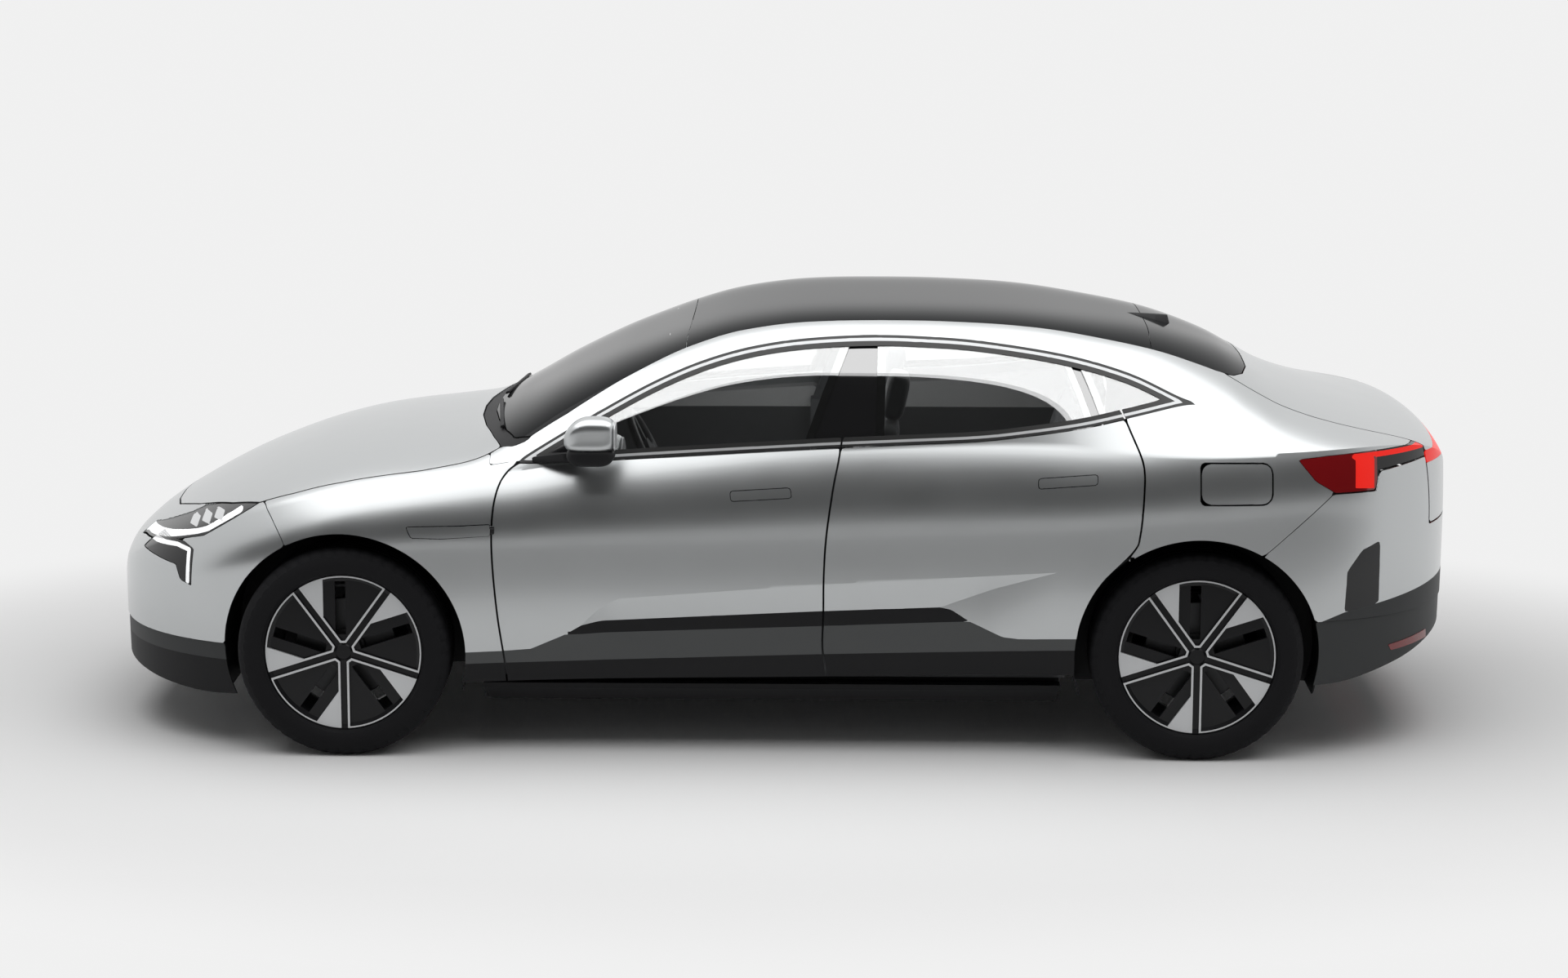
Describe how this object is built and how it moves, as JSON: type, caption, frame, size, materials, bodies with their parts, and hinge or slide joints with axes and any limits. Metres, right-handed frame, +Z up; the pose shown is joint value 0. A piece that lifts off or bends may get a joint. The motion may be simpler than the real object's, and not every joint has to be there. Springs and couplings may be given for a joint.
{
  "type": "coupe sport utility vehicle",
  "caption": "Sleek electric coupe sport utility vehicle with glass roof, frameless side doors, lifting tailgate and bonnet, steered front wheels and hollow cabin.",
  "frame": {"origin": "middle of the bounding box on the road", "axes": "-X points out of the nose, -Y out of the left side, +Z up"},
  "size_m": [4.84, 2.1208, 1.5329],
  "materials": {
    "alloy": "satin",
    "battery_case": "satin",
    "cabin_plastic": "matte",
    "dark_trim": "matte",
    "glass": "gloss",
    "gloss_black": "gloss",
    "lamp_clear": "gloss",
    "lamp_red": "gloss",
    "paint": "gloss",
    "roof_glass": "gloss",
    "steel": "satin",
    "structure": "satin",
    "tyre": "matte",
    "upholstery": "matte"
  },
  "bodies": {
    "vehicle_body": {"floor_pan": "structure", "battery_pack": "battery_case", "subframes": "structure", "rear_drive_unit": "steel", "rear_knuckles": "steel", "wheel_arch_liners": "dark_trim", "door_frames": "structure", "sill_trims": "dark_trim", "hinge_pins": "steel", "body_sides": "paint", "front_fenders": "paint", "front_bumper": "paint", "front_valance": "dark_trim", "headlamps": "lamp_clear", "cowl": "gloss_black", "windscreen": "roof_glass", "roof_glass": "roof_glass", "rear_roof_panel": "gloss_black", "quarter_glasses": "glass", "tail_lamps": "lamp_red", "rear_bumper": "paint", "rear_valance": "dark_trim", "charge_port": "gloss_black", "dashboard": "cabin_plastic", "front_seats": "upholstery", "rear_seat": "upholstery"},
    "front_door_left_body": {"front_door_left": "paint", "front_glass_left": "glass", "mirror_left": "paint"},
    "front_door_right_body": {"front_door_right": "paint", "front_glass_right": "glass", "mirror_right": "paint"},
    "rear_door_left_body": {"rear_door_left": "paint", "rear_glass_left": "glass"},
    "rear_door_right_body": {"rear_door_right": "paint", "rear_glass_right": "glass"},
    "hood_body": {"hood": "paint"},
    "tailgate_body": {"tailgate": "paint", "tail_light_bar": "lamp_red"},
    "charge_flap_body": {"charge_flap": "paint"},
    "steering_wheel_body": {"steering_wheel": "cabin_plastic"},
    "steer_left_body": {"knuckle_left": "steel"},
    "steer_right_body": {"knuckle_right": "steel"},
    "wheel_front_left_body": {"tyre_front_left": "tyre", "rim_front_left": "alloy"},
    "wheel_front_right_body": {"tyre_front_right": "tyre", "rim_front_right": "alloy"},
    "wheel_rear_left_body": {"tyre_rear_left": "tyre", "rim_rear_left": "alloy"},
    "wheel_rear_right_body": {"tyre_rear_right": "tyre", "rim_rear_right": "alloy"}
  },
  "joints": [
    {"name": "steer_left", "type": "hinge", "parent": "vehicle_body", "child": "steer_left_body", "pos_m": [-1.525, -0.8, 0.374], "axis": [0, 0, 1], "range_deg": [-34, 34]},
    {"name": "steer_right", "type": "hinge", "parent": "vehicle_body", "child": "steer_right_body", "pos_m": [-1.525, 0.8, 0.374], "axis": [0, 0, 1], "range_deg": [-34, 34]},
    {"name": "steering_wheel_turn", "type": "hinge", "parent": "vehicle_body", "child": "steering_wheel_body", "pos_m": [-0.47, -0.38, 0.985], "axis": [0.8988, 0, 0.4384], "range_deg": [-445, 445]},
    {"name": "wheel_front_left_spin", "type": "hinge", "parent": "steer_left_body", "child": "wheel_front_left_body", "pos_m": [-1.525, -0.842, 0.374], "axis": [0, 1, 0], "continuous": true},
    {"name": "wheel_front_right_spin", "type": "hinge", "parent": "steer_right_body", "child": "wheel_front_right_body", "pos_m": [-1.525, 0.842, 0.374], "axis": [0, 1, 0], "continuous": true},
    {"name": "wheel_rear_left_spin", "type": "hinge", "parent": "vehicle_body", "child": "wheel_rear_left_body", "pos_m": [1.474, -0.842, 0.374], "axis": [0, 1, 0], "continuous": true},
    {"name": "wheel_rear_right_spin", "type": "hinge", "parent": "vehicle_body", "child": "wheel_rear_right_body", "pos_m": [1.474, 0.842, 0.374], "axis": [0, 1, 0], "continuous": true},
    {"name": "front_door_left_hinge", "type": "hinge", "parent": "vehicle_body", "child": "front_door_left_body", "pos_m": [-0.9425, -0.92694, 0.62], "axis": [0, 0, -1], "range_deg": [0, 66]},
    {"name": "rear_door_left_hinge", "type": "hinge", "parent": "vehicle_body", "child": "rear_door_left_body", "pos_m": [0.2135, -0.91913, 0.62], "axis": [0, 0, -1], "range_deg": [0, 66]},
    {"name": "front_door_right_hinge", "type": "hinge", "parent": "vehicle_body", "child": "front_door_right_body", "pos_m": [-0.9425, 0.92694, 0.62], "axis": [0, 0, 1], "range_deg": [0, 66]},
    {"name": "rear_door_right_hinge", "type": "hinge", "parent": "vehicle_body", "child": "rear_door_right_body", "pos_m": [0.2135, 0.91913, 0.62], "axis": [0, 0, 1], "range_deg": [0, 66]},
    {"name": "hood_hinge", "type": "hinge", "parent": "vehicle_body", "child": "hood_body", "pos_m": [-0.915, 0, 1.062], "axis": [0, 1, 0], "range_deg": [0, 45]},
    {"name": "tailgate_hinge", "type": "hinge", "parent": "vehicle_body", "child": "tailgate_body", "pos_m": [1.752, 0, 1.20056], "axis": [0, -1, 0], "range_deg": [0, 65]},
    {"name": "charge_flap_hinge", "type": "hinge", "parent": "vehicle_body", "child": "charge_flap_body", "pos_m": [1.5075, -0.95521, 0.998], "axis": [0, -0.2588, -0.9659], "range_deg": [0, 80]}
  ],
  "couplings": [
    {"joint": "steer_right", "follows": "steer_left", "ratio": 1},
    {"joint": "steering_wheel_turn", "follows": "steer_left", "ratio": 13}
  ]
}
